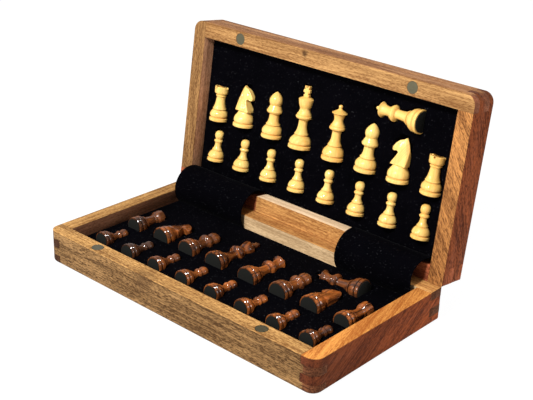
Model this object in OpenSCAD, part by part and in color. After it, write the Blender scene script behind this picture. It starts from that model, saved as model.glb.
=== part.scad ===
// Folding chess box: two equal shallow halves, hinged along one long side, whose outside
// faces are the two halves of the playing board. Each half carries a velvet insert with a
// fitted pocket for every chess piece. Origin: centre of the lower half's underside, +Z up,
// hinge at the rear (+Y). The lid is drawn at its rest angle.

/* [Box] */
// Length of the box along the hinge
box_w = 305; // [290:1:400]
// Depth of one half, from the hinge side to the front
half_d = 158; // [152:1:200]
// Height of one half
half_h = 30; // [28:0.5:40]
// Thickness of the wooden walls
wall = 14; // [12:0.5:18]
// Radius of the upright corners away from the hinge
corner_r = 9; // [4:0.5:12]
// Radius of the eased edges around the board face
edge_r = 2.5; // [1:0.5:3.5]
// Fingers in each corner joint
fingers = 4; // [2:1:6]
// Angle of the lid from closed
lid_angle = 97.4; // [60:0.1:150]
// Gap between the two rims when the box is shut
rim_gap = 0.2; // [0.1:0.05:0.5]

/* [Board] */
// Border around the squares, on the sides and the front
border = 24.5; // [20:0.5:35]
// Wooden lip outside the board panel, on the sides and the front
lip = 8; // [5:0.5:9]
// Wooden lip between the squares and the hinge side
hinge_lip = 5.5; // [4:0.5:9]
// Thickness of the veneer
veneer_t = 1.2; // [0.8:0.1:2]
// Thickness of the backing panel
panel_t = 3; // [2:0.5:4]
// Thickness of the steel sheet that the pieces cling to
steel_t = 0.5; // [0.3:0.1:1]
// Glue line left between veneer pieces and around the panel
glue_line = 0.1; // [0.05:0.05:0.2]

/* [Insert] */
// Depth of the velvet surface below the rim
recess = 11.7; // [10:0.1:14]
// Gap around the insert
insert_gap = 0.3; // [0.1:0.1:0.5]
// Gap between a piece and its pocket
pocket_gap = 0.35; // [0.2:0.05:0.6]
// Height of a lying piece's axis above the velvet
axis_h = 1.2; // [0:0.1:4]
// How far the heads of the large pieces dip into the velvet, in degrees
dip = 1.5; // [0:0.5:3]
// How far the heads of the pawns dip into the velvet, in degrees
pawn_dip = 4; // [0:0.5:5]
// Distance of the dark pawns' feet from the near wall
base_pawn_row = 16; // [12:0.2:18]
// Distance of the large dark pieces' feet from the near wall
base_back_row = 55.4; // [52:0.2:60]
// Distance of the light pawns' feet from the near wall
lid_pawn_row = 13.6; // [12:0.2:18]
// Distance of the large light pieces' feet from the near wall
lid_back_row = 53.6; // [52:0.2:60]
// Distance of the spare queen's axis from the near wall
spare_row = 109.2; // [108:0.2:118]
// Place of the spare queen's foot, from the middle of the box
spare_x = 103; // [96:0.5:110]

/* [Closure magnets] */
// Diameter of a closure magnet
magnet_d = 10; // [6:0.5:11]
// Thickness of a closure magnet
magnet_t = 5; // [3:0.5:8]
// Place of the closure magnets, from the middle of the front
magnet_x = 94.3; // [60:0.1:110]
// Gap around a closure magnet
magnet_gap = 0.2; // [0.1:0.05:0.3]

/* [Hinges] */
// Place of the hinges, from the middle of the box
hinge_x = 96; // [60:1:105]
// Length of a hinge
hinge_l = 38; // [30:1:50]
// Width of a hinge leaf from the pin's axis
leaf_w = 11; // [9:0.5:11.5]
// Thickness of a hinge leaf
leaf_t = 1; // [0.8:0.1:1.2]
// Radius of the hinge knuckles
knuckle_r = 2.2; // [1.8:0.1:2.5]
// Radius of the hinge pin
pin_r = 0.9; // [0.7:0.05:1.1]
// Running clearance of the pin, on the radius
pin_gap = 0.04; // [0.02:0.01:0.08]
// Gap between knuckles, and between knuckles and wood
knuckle_gap = 0.3; // [0.2:0.05:0.5]
// Radius of a hinge screw's shank
screw_r = 1.1; // [0.9:0.1:1.3]
// Radius of a hinge screw's head
screw_head_r = 2; // [1.8:0.1:2.2]
// Length of a hinge screw
screw_l = 9; // [6:0.5:12]

/* [Hinge flaps] */
// Thickness of a velvet flap
flap_t = 1.2; // [0.8:0.1:2]
// Gap between a flap and the wooden rim's inner face
flap_wall_gap = 0.6; // [0.4:0.1:1]
// Gap between a flap's ends and the inserts
flap_seat_gap = 0.3; // [0.2:0.05:0.5]
// Inner end of a flap, from the middle of the box
flap_inner_x = 56; // [40:1:70]
// Gap between the left flap and the left wall
flap_left_gap = 0.4; // [0.3:0.1:2]
// Gap between the right flap and the right wall
flap_right_gap = 7; // [0.3:0.1:12]

/* [Chess pieces] */
// Height of the king
king_h = 57; // [48:0.5:60]
// Foot diameter of the king
king_d = 21.2; // [19:0.2:24]
// Height of the queen
queen_h = 49.5; // [42:0.5:52]
// Foot diameter of the queen
queen_d = 20.4; // [18:0.2:22]
// Height of the bishop
bishop_h = 43; // [36:0.5:46]
// Foot diameter of the bishop
bishop_d = 19.6; // [17:0.2:22]
// Height of the knight
knight_h = 39; // [34:0.5:44]
// Foot diameter of the knight
knight_d = 19.8; // [17:0.2:22]
// Height of the rook
rook_h = 33.6; // [28:0.2:38]
// Foot diameter of the rook
rook_d = 17.8; // [16:0.2:21]
// Height of the pawn
pawn_h = 30.2; // [24:0.2:33]
// Foot diameter of the pawn
pawn_d = 16.2; // [14:0.2:19]
// Thickness of the felt under a foot
felt_t = 0.8; // [0.5:0.1:1.5]
// Diameter of the magnet in a foot
foot_magnet_d = 8; // [5:0.5:10]
// Thickness of the magnet in a foot
foot_magnet_t = 2; // [1:0.5:3]
// Glued gap between a piece's wood, felt and magnet
foot_gap = 0.05; // [0.03:0.01:0.1]

/* [Hidden] */
$fn = 64;
rosewood = "#9c6a3c";
rosewood_dark = "#5c3a24";
maple = "#e8cf9a";
plywood = "#c9a878";
boxwood = "#f2d68a";
red_brown = "#7a4223";
velvet = "#141318";
brass = "#c8a24a";
steel = "#9a9a94";
felt = "#1c2222";

inner_w = box_w - 2 * wall;
inner_d = half_d - 2 * wall;
finger_h = half_h / fingers;
square_x = (box_w - 2 * border) / 8;
square_y = (half_d - border - hinge_lip) / 4;
panel_top = veneer_t + panel_t;
steel_gap = 0.2;
steel_z = panel_top + 0.1;
insert_t = half_h - recess - steel_z - steel_t - 0.1;
axis_off = rim_gap / 2;
hinge_y = half_d / 2 + axis_off;
hinge_z = half_h + axis_off;
knuckle_l = hinge_l / 3;
flap_r = sqrt(pow(wall + axis_off + flap_wall_gap, 2) + pow(recess + axis_off, 2)) + flap_t / 2;
flap_end = asin((recess + axis_off - flap_seat_gap) / (flap_r + flap_t / 2));
flap_ends = [
  [-inner_w / 2 + flap_left_gap, -flap_inner_x],
  [flap_inner_x, inner_w / 2 - flap_right_gap]
];

// The back row from left to right, and each kind's [height, foot radius, head radius,
// height of the foot as a share]
row_kinds = ["rook", "knight", "bishop", "king", "queen", "bishop", "knight", "rook"];
row_names = [
  "rook_left", "knight_left", "bishop_left", "king", "queen", "bishop_right",
  "knight_right", "rook_right"
];
// Places of the large pieces across a box of 277 mm inside width, and of any other
row_places = [-120, -87, -52.8, -19, 19, 53.8, 87.2, 120.6];
pawn_step = (inner_w - pawn_d - 2 * 12.1) / 7;

function size_of(kind) =
  kind == "king" ? [king_h, king_d / 2, 0.71, 0.22] :
  kind == "queen" ? [queen_h, queen_d / 2, 0.71, 0.25] :
  kind == "bishop" ? [bishop_h, bishop_d / 2, 0.76, 0.28] :
  kind == "knight" ? [knight_h, knight_d / 2, 0.90, 0.30] :
  kind == "rook" ? [rook_h, rook_d / 2, 0.78, 0.33] :
  [pawn_h, pawn_d / 2, 0.60, 0.40];

function row_x(i) = row_places[i] * inner_w / 277;
function pawn_x(i) = (i - 4.5) * pawn_step;
function dip_of(kind) = kind == "pawn" ? pawn_dip : dip;

// ---- Frames -----------------------------------------------------------------------
// A tray stands with its board face at z = 0 and its hinge side at y = 0, rim up.
module base_tray() {
  translate([0, half_d / 2, 0]) mirror([0, 1, 0]) children();
}

module lid_tray() {
  lid_axis() translate([0, axis_off, -axis_off - half_h]) children();
}

// A hinge frame has its origin on the pin's axis and runs from there over its own half.
module base_axis() {
  translate([0, hinge_y, hinge_z]) mirror([0, 1, 0]) children();
}

module lid_axis() {
  translate([0, hinge_y, hinge_z]) rotate([180 - lid_angle, 0, 0]) children();
}

// An insert frame lies on the velvet with its origin at the wall nearest the viewer,
// x to the right and z out of the box.
module base_view() {
  translate([0, wall - half_d / 2, half_h - recess]) children();
}

module lid_view() {
  lid_tray() translate([0, wall, half_h - recess]) children();
}

// ---- Walls --------------------------------------------------------------------------
module outline() {
  translate([-box_w / 2, 0]) square([box_w, half_d - corner_r]);
  translate([corner_r - box_w / 2, 0]) square([box_w - 2 * corner_r, half_d]);
  for (s = [-1, 1])
    translate([s * (box_w / 2 - corner_r), half_d - corner_r]) circle(corner_r);
}

// How far a board stops short of its corner at finger k, counted from the rim
function lap(k, odd) = ((k % 2 == 1) == odd) ? 0 : wall;

// A box between two corners in plan, given as [x0, y0, x1, y1]
module plan_box(c) {
  translate([c[0], c[1]]) square([c[2] - c[0], c[3] - c[1]]);
}

function board_plan(side, k) =
  side == "front" ? [lap(k, true) - box_w / 2, half_d - wall, box_w / 2 - lap(k, false), half_d] :
  side == "hinge" ? [lap(k, false) - box_w / 2, 0, box_w / 2 - lap(k, true), wall] :
  side == "right" ? [box_w / 2 - wall, lap(k, false), box_w / 2, half_d - lap(k, true)] :
  [-box_w / 2, lap(k, true), wall - box_w / 2, half_d - lap(k, false)];

module wall_board(side) {
  difference() {
    union()
      for (k = [1:fingers])
        translate([0, 0, half_h - k * finger_h])
          linear_extrude(finger_h)
            intersection() {
              outline();
              plan_box(board_plan(side, k));
            }
    panel_rabbet();
    eased_edge();
    if (side == "front") magnet_holes();
    if (side == "hinge") hinge_mortises();
  }
}

module panel_rabbet() {
  translate([lip - box_w / 2, hinge_lip, -1])
    cube([box_w - 2 * lip, half_d - hinge_lip - lip, panel_top + 1]);
}

// What the round-over takes off, with the board's outer corner at the origin
module round_over() {
  difference() {
    translate([-1, -1]) square(edge_r + 1);
    translate([edge_r, edge_r]) circle(edge_r);
  }
}

module eased_edge() {
  for (s = [0, 1])
    mirror([s, 0, 0])
      translate([-box_w / 2, half_d - corner_r, 0]) {
        rotate([90, 0, 0]) linear_extrude(half_d) round_over();
        translate([corner_r, 0, 0])
          rotate([0, 0, 90])
            rotate_extrude(angle = 90)
              translate([corner_r, 0]) mirror([1, 0]) round_over();
      }
  translate([corner_r - box_w / 2, half_d, 0])
    rotate([90, 0, 90])
      linear_extrude(box_w - 2 * corner_r) mirror([1, 0]) round_over();
}

module magnet_holes() {
  for (s = [-1, 1])
    translate([s * magnet_x, half_d - wall / 2, half_h - magnet_t - magnet_gap])
      cylinder(h = magnet_t + 1, r = magnet_d / 2 + magnet_gap);
}

module closure_magnets() {
  color(steel)
    for (s = [-1, 1])
      translate([s * magnet_x, half_d - wall / 2, half_h - magnet_t - magnet_gap / 2])
        cylinder(h = magnet_t, r = magnet_d / 2);
}

// Shallow mortise for each leaf, groove for its knuckles and pilot holes for its screws
module hinge_mortises() {
  translate([0, -axis_off, half_h + axis_off])
    for (s = [-1, 1])
      translate([s * hinge_x, 0, 0]) {
        translate([-hinge_l / 2 - insert_gap, -1, -axis_off - leaf_t])
          cube([hinge_l + 2 * insert_gap, leaf_w + insert_gap + 1, leaf_t + 1]);
        rotate([0, 90, 0])
          cylinder(h = hinge_l + 2 * insert_gap, r = knuckle_r + knuckle_gap, center = true);
        screw_places()
          translate([0, 0, -insert_gap])
            cylinder(h = screw_l + insert_gap, r = screw_r + foot_gap);
      }
}

// ---- Board panel ----------------------------------------------------------------------
module panel_plan(gap) {
  plan_box([
    lip - box_w / 2 + gap, hinge_lip + gap, box_w / 2 - lip - gap, half_d - lip - gap
  ]);
}

module board_panel() {
  color(plywood)
    translate([0, 0, veneer_t]) linear_extrude(panel_t - glue_line / 2) panel_plan(glue_line);
}

// One colour of squares, parity 0 or 1
module squares(parity) {
  for (i = [0:7])
    for (j = [0:3])
      if ((i + j) % 2 == parity)
        translate([border - box_w / 2 + i * square_x, hinge_lip + j * square_y, 0])
          translate([glue_line / 2, glue_line / 2, 0])
            cube([square_x - glue_line, square_y - glue_line, veneer_t - glue_line / 2]);
}

module light_squares(parity) {
  color(maple) squares(parity);
}

// The dark squares and the border band around three sides of the squares
module dark_veneer(parity) {
  color(rosewood_dark) {
    squares(parity);
    linear_extrude(veneer_t - glue_line / 2)
      difference() {
        panel_plan(glue_line);
        plan_box([
          border - box_w / 2 - glue_line / 2, -1, box_w / 2 - border + glue_line / 2,
          half_d - border + glue_line / 2
        ]);
      }
  }
}

module steel_sheet() {
  color(steel)
    translate([steel_gap - inner_w / 2, wall + steel_gap, steel_z])
      cube([inner_w - 2 * steel_gap, inner_d - 2 * steel_gap, steel_t]);
}

// ---- Velvet insert ------------------------------------------------------------------
// Pocket for a lying piece: a box for its foot and a dipping one for the rest. The foot's
// box is longer by what the foot leans, so the piece lifts straight out.
module pocket(kind) {
  s = size_of(kind);
  foot_r = s[1] + pocket_gap;
  head_r = s[1] * s[2] + pocket_gap;
  foot_l = s[0] * s[3];
  slack = pocket_gap + s[1] * sin(dip_of(kind));
  translate([-foot_r, -slack, axis_h - foot_r])
    cube([2 * foot_r, foot_l + 2 * slack, foot_r + 1]);
  translate([0, 0, axis_h])
    rotate([-dip_of(kind), 0, 0])
      translate([-head_r, 0, -head_r]) cube([2 * head_r, s[0] + pocket_gap, head_r + 4]);
}

module velvet_insert(back_row, pawn_row) {
  color(velvet)
    difference() {
      translate([insert_gap - inner_w / 2, insert_gap, -insert_t])
        cube([inner_w - 2 * insert_gap, inner_d - 2 * insert_gap, insert_t]);
      for (i = [0:7]) translate([row_x(i), back_row, 0]) pocket(row_kinds[i]);
      for (i = [1:8]) translate([pawn_x(i), pawn_row, 0]) pocket("pawn");
      translate([spare_x, spare_row, 0]) rotate([0, 0, 90]) pocket("queen");
    }
}

// ---- Hinges -----------------------------------------------------------------------------
module screw_places() {
  for (x = [-hinge_l / 2 + 6, 0, hinge_l / 2 - 6])
    translate([x, leaf_w * 0.62, -axis_off - screw_l]) children();
}

// Lengths of barrel that one leaf holds: [middle, length] pairs
function knuckles(outer) =
  outer ? [[-knuckle_l, knuckle_l - knuckle_gap], [knuckle_l, knuckle_l - knuckle_gap]] :
  [[0, knuckle_l - knuckle_gap]];

module barrel(at, r) {
  translate([at[0], 0, 0]) rotate([0, 90, 0]) cylinder(h = at[1], r = r, center = true);
}

module hinge_leaf(outer) {
  difference() {
    union() {
      translate([-hinge_l / 2, 0, -axis_off - leaf_t]) cube([hinge_l, leaf_w, leaf_t]);
      for (at = knuckles(outer)) barrel(at, knuckle_r);
    }
    for (at = knuckles(!outer))
      barrel([at[0], at[1] + 2 * knuckle_gap], knuckle_r + knuckle_gap);
    barrel([0, 2 * hinge_l], pin_r + pin_gap);
    screw_places() {
      cylinder(h = screw_l + 1, r = screw_r + foot_gap);
      translate([0, 0, screw_l - leaf_t])
        cylinder(h = leaf_t, r1 = screw_r + foot_gap, r2 = screw_head_r + foot_gap);
    }
  }
}

module hinge_leaves(outer) {
  color(brass) for (s = [-1, 1]) translate([s * hinge_x, 0, 0]) hinge_leaf(outer);
}

module hinge_screws() {
  color(brass)
    for (s = [-1, 1])
      translate([s * hinge_x, 0, 0])
        screw_places()
          difference() {
            union() {
              cylinder(h = screw_l, r = screw_r);
              translate([0, 0, screw_l - leaf_t])
                cylinder(h = leaf_t, r1 = screw_r, r2 = screw_head_r);
            }
            translate([-screw_head_r, -0.25, screw_l - 0.4])
              cube([2 * screw_head_r, 0.5, 1]);
          }
}

module hinge_pins() {
  color(steel)
    for (s = [-1, 1])
      translate([s * hinge_x, hinge_y, hinge_z]) barrel([0, hinge_l - knuckle_gap], pin_r);
}

// ---- Velvet flaps over the hinges ------------------------------------------------------
// Each is an arch about the hinge axis, from the lower insert's edge to the lid insert's
module hinge_flaps() {
  first = 180 - lid_angle - flap_end;
  span = lid_angle + 2 * flap_end;
  color(velvet)
    for (x = flap_ends)
      translate([0, hinge_y, hinge_z])
        rotate([0, 90, 0])
          rotate([0, 0, 90 + first])
            rotate_extrude(angle = span)
              translate([flap_r - flap_t / 2, x[0]]) square([flap_t, x[1] - x[0]]);
}

// ---- Chess pieces ------------------------------------------------------------------------
// Outlines are lists of [radius, height] as shares of the foot radius and the height.
arc_steps = 6;

// A convex bead between two heights, out to radius r
function bead(z0, z1, r, bulge) = [
  for (i = [0:arc_steps])
    let (a = -90 + 180 * i / arc_steps)
      [r - bulge + bulge * cos(a), (z0 + z1) / 2 + (z1 - z0) / 2 * sin(a)]
];

// A swelling curve that starts upright and turns in to radius r1
function swell(z0, r0, z1, r1) = [
  for (i = [0:arc_steps])
    let (a = 90 * i / arc_steps) [r1 + (r0 - r1) * cos(a), z0 + (z1 - z0) * sin(a)]
];

// A hollow curve that turns upright towards radius r1, or away from r0 when it flares
function hollow(z0, r0, z1, r1) = [
  for (i = [0:arc_steps])
    let (a = 90 * i / arc_steps) [r1 + (r0 - r1) * (1 - sin(a)), z0 + (z1 - z0) * (1 - cos(a))]
];

function flare(z0, r0, z1, r1) = [
  for (i = [0:arc_steps])
    let (a = 90 * i / arc_steps) [r0 + (r1 - r0) * (1 - cos(a)), z0 + (z1 - z0) * sin(a)]
];

// An upright start and end, with an S-shaped slope between them
function slope(z0, r0, z1, r1) = [
  for (i = [0:arc_steps])
    let (t = i / arc_steps) [r1 + (r0 - r1) * (1 + cos(180 * t)) / 2, z0 + (z1 - z0) * t]
];

// The top of a ball of radius r and half height h, from an angle below its middle
function ball(z, h, r, below) = [
  for (i = [0:arc_steps])
    let (a = -below + (90 + below) * i / arc_steps) [r * cos(a), z + h * sin(a)]
];

// Plinth, groove and bead, then the shoulder up to height f, where the radius is r
function foot(f, r) = concat(
  [[0.97, 0], [1, 0.05 * f], [1, 0.24 * f], [0.93, 0.28 * f]],
  bead(0.29 * f, 0.46 * f, 0.965, 0.05),
  slope(0.46 * f, 0.915, f, r)
);

function king_outline() = concat(
  foot(0.20, 0.60), [[0.60, 0.215], [0.605, 0.235]], hollow(0.24, 0.54, 0.42, 0.375),
  [[0.38, 0.455], [0.42, 0.463]], bead(0.465, 0.53, 0.70, 0.16), [[0.61, 0.535]],
  bead(0.537, 0.56, 0.63, 0.05), hollow(0.565, 0.55, 0.63, 0.43),
  hollow(0.64, 0.44, 0.76, 0.635), [[0.655, 0.785], [0.635, 0.80], [0.32, 0.82], [0, 0.82]]
);

function queen_outline() = concat(
  foot(0.235, 0.60), [[0.61, 0.25], [0.615, 0.275]], hollow(0.285, 0.545, 0.47, 0.39),
  [[0.395, 0.52], [0.44, 0.53]], bead(0.535, 0.605, 0.705, 0.16), [[0.61, 0.61]],
  bead(0.612, 0.635, 0.625, 0.05), hollow(0.64, 0.54, 0.72, 0.40),
  flare(0.73, 0.405, 0.845, 0.62), [[0.633, 0.855], [0.61, 0.867]],
  hollow(0.87, 0.56, 0.937, 0.12), ball(0.965, 0.035, 0.175, 40)
);

function bishop_outline() = concat(
  foot(0.26, 0.66), [[0.675, 0.285], [0.67, 0.30]], hollow(0.315, 0.585, 0.49, 0.46),
  [[0.49, 0.525]], hollow(0.53, 0.56, 0.565, 0.75),
  [[0.75, 0.59], [0.66, 0.635], [0.56, 0.68], [0.52, 0.705]],
  hollow(0.71, 0.53, 0.80, 0.63), [[0.625, 0.83], [0.59, 0.86]], swell(0.865, 0.58, 1, 0)
);

function rook_outline() = concat(
  foot(0.325, 0.71), [[0.74, 0.345], [0.735, 0.37]], hollow(0.385, 0.665, 0.69, 0.485),
  bead(0.705, 0.75, 0.575, 0.08), hollow(0.765, 0.55, 0.825, 0.745),
  [[0.76, 0.95], [0.775, 1], [0, 1]]
);

function knight_outline() = concat(foot(0.33, 0.68), [[0.62, 0.365], [0.62, 0.39], [0, 0.39]]);

function pawn_outline() = concat(
  foot(0.36, 0.59), [[0.60, 0.385]], hollow(0.40, 0.55, 0.57, 0.375), [[0.38, 0.605]],
  bead(0.61, 0.70, 0.525, 0.13), [[0.40, 0.712]], ball(0.86, 0.14, 0.535, 46)
);

// Side view of the horse's head, as shares of the foot radius and the height
horse_points = [
  [-0.79, 0.385], [-0.81, 0.46], [-0.81, 0.56], [-0.79, 0.67], [-0.73, 0.76], [-0.63, 0.84],
  [-0.49, 0.91], [-0.27, 1], [-0.10, 0.955], [0.06, 0.945], [0.24, 0.925], [0.42, 0.895],
  [0.60, 0.845], [0.76, 0.795], [0.87, 0.75], [0.88, 0.715], [0.75, 0.67], [0.46, 0.69],
  [0.24, 0.66], [0.30, 0.615], [0.54, 0.49], [0.69, 0.43], [0.72, 0.385]
];

// The turned wood stands on the felt, with a bore in its foot for the magnet
module turned(kind, outline) {
  s = size_of(kind);
  low = felt_t + foot_gap;
  difference() {
    translate([0, 0, low])
      rotate_extrude()
        polygon(concat([[0, 0]], [for (p = outline) [p[0] * s[1], p[1] * (s[0] - low)]]));
    translate([0, 0, low - 1])
      cylinder(h = foot_magnet_t + 1 + 2 * foot_gap, r = foot_magnet_d / 2 + foot_gap);
  }
}

module foot_fittings(kind) {
  s = size_of(kind);
  cylinder(h = felt_t, r = s[1] - 1.2);
  translate([0, 0, felt_t + 2 * foot_gap]) cylinder(h = foot_magnet_t, r = foot_magnet_d / 2);
}

module rook_notches() {
  s = size_of("rook");
  depth = 0.05 * s[0];
  translate([0, 0, s[0] - depth]) cylinder(h = depth + 1, r = 0.56 * s[1]);
  for (a = [0, 90])
    rotate([0, 0, a + 45])
      translate([-s[1], -0.12 * s[1], s[0] - depth])
        cube([2 * s[1], 0.24 * s[1], depth + 1]);
}

module king_cross() {
  s = size_of("king");
  top = s[0];
  bottom = 0.82 * s[0];
  thick = 0.18 * s[1];
  for (b = [[0.24, bottom - 0.5, top], [0.29, bottom - 0.5, top - 6], [0.33, top - 5.2, top - 1.4]])
    translate([-b[0] * s[1], -thick, b[1]]) cube([2 * b[0] * s[1], 2 * thick, b[2] - b[1]]);
}

module horse_head() {
  s = size_of("knight");
  intersection() {
    rotate([90, 0, 0])
      linear_extrude(1.05 * s[1], center = true)
        polygon([for (p = horse_points) [p[0] * s[1], p[1] * s[0]]]);
    for (m = [0, 1])
      mirror([0, m, 0])
        rotate([90, 0, 90])
          linear_extrude(2 * s[1], center = true)
            polygon([
              [0, 0], [0.525 * s[1], 0], [0.525 * s[1], 0.42 * s[0]],
              [0.30 * s[1], 0.75 * s[0]], [0.12 * s[1], s[0]], [0, s[0]]
            ]);
  }
}

module piece(kind) {
  foot_fittings(kind);
  if (kind == "pawn") turned(kind, pawn_outline());
  if (kind == "queen") turned(kind, queen_outline());
  if (kind == "bishop") turned(kind, bishop_outline());
  if (kind == "rook")
    difference() {
      turned(kind, rook_outline());
      rook_notches();
    }
  if (kind == "king")
    union() {
      turned(kind, king_outline());
      king_cross();
    }
  if (kind == "knight")
    union() {
      turned(kind, knight_outline());
      horse_head();
    }
}

// Back-row piece i, lying with its head away from the near wall. The right-hand knight
// faces left.
module row_piece(i, back_row) {
  translate([row_x(i), back_row, axis_h])
    rotate([-90 - dip_of(row_kinds[i]), 0, 0])
      mirror([i > 3 ? 1 : 0, 0, 0]) piece(row_kinds[i]);
}

module pawn(i, pawn_row) {
  translate([pawn_x(i), pawn_row, axis_h]) rotate([-90 - pawn_dip, 0, 0]) piece("pawn");
}

// Lies sideways behind the row, head to the left
module spare_queen() {
  translate([spare_x, spare_row, axis_h]) rotate([0, -90 - dip, 0]) piece("queen");
}

// ---- Lower half ---------------------------------------------------------------------------
base_tray() color(rosewood) wall_board("front");  // base_front_wall
base_tray() color(rosewood) wall_board("hinge");  // base_hinge_wall
base_tray() color(rosewood) wall_board("left");  // base_left_wall
base_tray() color(rosewood) wall_board("right");  // base_right_wall
base_tray() board_panel();  // base_board_panel
base_tray() dark_veneer(0);  // base_dark_veneer
base_tray() light_squares(1);  // base_light_squares
base_tray() steel_sheet();  // base_steel_sheet
base_view() velvet_insert(base_back_row, base_pawn_row);  // base_velvet_insert
base_tray() closure_magnets();  // base_closure_magnets

// ---- Lid, whose corner joints are the mirror image of the lower half's ------------------------
module lid_wall(side) {
  lid_tray() mirror([1, 0, 0]) color(rosewood) wall_board(side);
}

lid_wall("front");  // lid_front_wall
lid_wall("hinge");  // lid_hinge_wall
lid_wall("right");  // lid_left_wall
lid_wall("left");  // lid_right_wall
lid_tray() board_panel();  // lid_board_panel
lid_tray() dark_veneer(1);  // lid_dark_veneer
lid_tray() light_squares(0);  // lid_light_squares
lid_tray() steel_sheet();  // lid_steel_sheet
lid_view() velvet_insert(lid_back_row, lid_pawn_row);  // lid_velvet_insert
lid_tray() closure_magnets();  // lid_closure_magnets

// ---- Hinges and flaps -----------------------------------------------------------------------
base_axis() hinge_leaves(true);  // base_hinge_leaves
lid_axis() hinge_leaves(false);  // lid_hinge_leaves
hinge_pins();
base_axis() hinge_screws();  // base_hinge_screws
lid_axis() hinge_screws();  // lid_hinge_screws
hinge_flaps();

// ---- Chess pieces ---------------------------------------------------------------------------
for (i = [0:7]) {
  base_view() color(red_brown) row_piece(i, base_back_row);
  lid_view() color(boxwood) row_piece(i, lid_back_row);
}
for (i = [1:8]) {
  base_view() color(red_brown) pawn(i, base_pawn_row);
  lid_view() color(boxwood) pawn(i, lid_pawn_row);
}
base_view() color(red_brown) spare_queen();  // dark_spare_queen
lid_view() color(boxwood) spare_queen();  // light_spare_queen
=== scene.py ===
from math import asin, atan2, ceil, cos, exp, hypot, pi, radians, sin, sqrt

import bmesh
import bpy
from mathutils import Matrix, Vector, noise
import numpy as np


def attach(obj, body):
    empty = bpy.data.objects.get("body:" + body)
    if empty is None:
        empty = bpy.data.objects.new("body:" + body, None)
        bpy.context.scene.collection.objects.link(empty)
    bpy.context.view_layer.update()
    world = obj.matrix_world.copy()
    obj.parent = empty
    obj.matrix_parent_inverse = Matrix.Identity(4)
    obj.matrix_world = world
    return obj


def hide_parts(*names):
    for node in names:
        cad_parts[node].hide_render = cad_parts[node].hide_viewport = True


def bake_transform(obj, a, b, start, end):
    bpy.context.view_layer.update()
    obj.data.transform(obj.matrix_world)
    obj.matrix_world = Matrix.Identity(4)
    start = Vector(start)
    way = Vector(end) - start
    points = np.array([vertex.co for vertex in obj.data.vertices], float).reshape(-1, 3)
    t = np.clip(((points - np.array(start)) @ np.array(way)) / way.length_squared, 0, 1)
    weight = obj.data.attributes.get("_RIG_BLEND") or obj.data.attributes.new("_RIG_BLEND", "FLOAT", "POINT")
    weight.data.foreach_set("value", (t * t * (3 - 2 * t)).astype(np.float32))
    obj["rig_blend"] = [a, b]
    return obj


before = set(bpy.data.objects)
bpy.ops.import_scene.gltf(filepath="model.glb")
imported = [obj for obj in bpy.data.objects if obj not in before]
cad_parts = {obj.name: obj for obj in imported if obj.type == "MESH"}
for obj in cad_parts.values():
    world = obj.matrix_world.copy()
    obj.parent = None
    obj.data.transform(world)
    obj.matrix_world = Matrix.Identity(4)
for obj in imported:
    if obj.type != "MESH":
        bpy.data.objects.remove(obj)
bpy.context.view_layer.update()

mm = 0.001

# ---- Camera --------------------------------------------------------------------------
# It stands in front of the open box, to its right and above it, and leans by two degrees.
scene = bpy.context.scene
scene.view_settings.view_transform = "Standard"
camera = bpy.data.objects.new("camera", bpy.data.cameras.new("camera"))
scene.collection.objects.link(camera)
scene.camera = camera
camera.data.lens = 73.13
camera.data.sensor_width = 36
to_right = Vector((0.73977, 0.67211, 0.03189))
to_top = Vector((-0.29361, 0.27980, 0.91406))
to_viewer = Vector((0.60542, -0.68556, 0.40432))
camera.matrix_world = (Matrix.Translation((0.5557, -0.5941, 0.4424))
                       @ Matrix((to_right, to_top, to_viewer)).transposed().to_4x4())


# ---- Studio --------------------------------------------------------------------------
# A white table in a white room. The main lamp hangs above and in front of the box, weaker
# ones stand at the front left and the rear right, and the room adds soft light of its own.
def add_node(tree, kind, inputs=None, **settings):
    """Adds a shader node, sets its options, and feeds its inputs with values or outputs."""
    node = tree.nodes.new(kind)
    for name, value in settings.items():
        setattr(node, name, value)
    for name, value in (inputs or {}).items():
        if isinstance(value, bpy.types.NodeSocket):
            tree.links.new(value, node.inputs[name])
        else:
            node.inputs[name].default_value = value
    return node


def maths(tree, operation, *values):
    """The result of a Math node."""
    return add_node(tree, "ShaderNodeMath", dict(enumerate(values)), operation=operation).outputs[0]


def new_material(name):
    """A material with nodes, its node tree, and its Principled shader."""
    material = bpy.data.materials.new(name)
    material.use_nodes = True
    return material, material.node_tree, material.node_tree.nodes["Principled BSDF"]


def new_object(name, mesh, material, body=None, replaces=()):
    """Links a mesh as an object at the origin, and says what it rides on and stands for."""
    mesh.materials.append(material)
    piece = bpy.data.objects.new(name, mesh)
    scene.collection.objects.link(piece)
    if body:
        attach(piece, body)
    if replaces:
        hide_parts(*replaces)
    return piece


def mesh_from(form, name, smooth_below=35):
    """Ends a bmesh: smooth shading, with edges sharper than an angle left sharp."""
    for face in form.faces:
        face.smooth = True
    for edge in form.edges:
        edge.smooth = (len(edge.link_faces) == 2
                       and edge.calc_face_angle(0) < radians(smooth_below))
    mesh = bpy.data.meshes.new(name)
    form.to_mesh(mesh)
    form.free()
    return mesh


def seen_directly(tree):
    """A mask that is 1 for rays from the camera, a mirror or glass."""
    rays = tree.nodes.new("ShaderNodeLightPath").outputs
    either = maths(tree, "MAXIMUM", rays["Is Camera Ray"], rays["Is Glossy Ray"])
    return maths(tree, "MAXIMUM", either, rays["Is Transmission Ray"])


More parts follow.
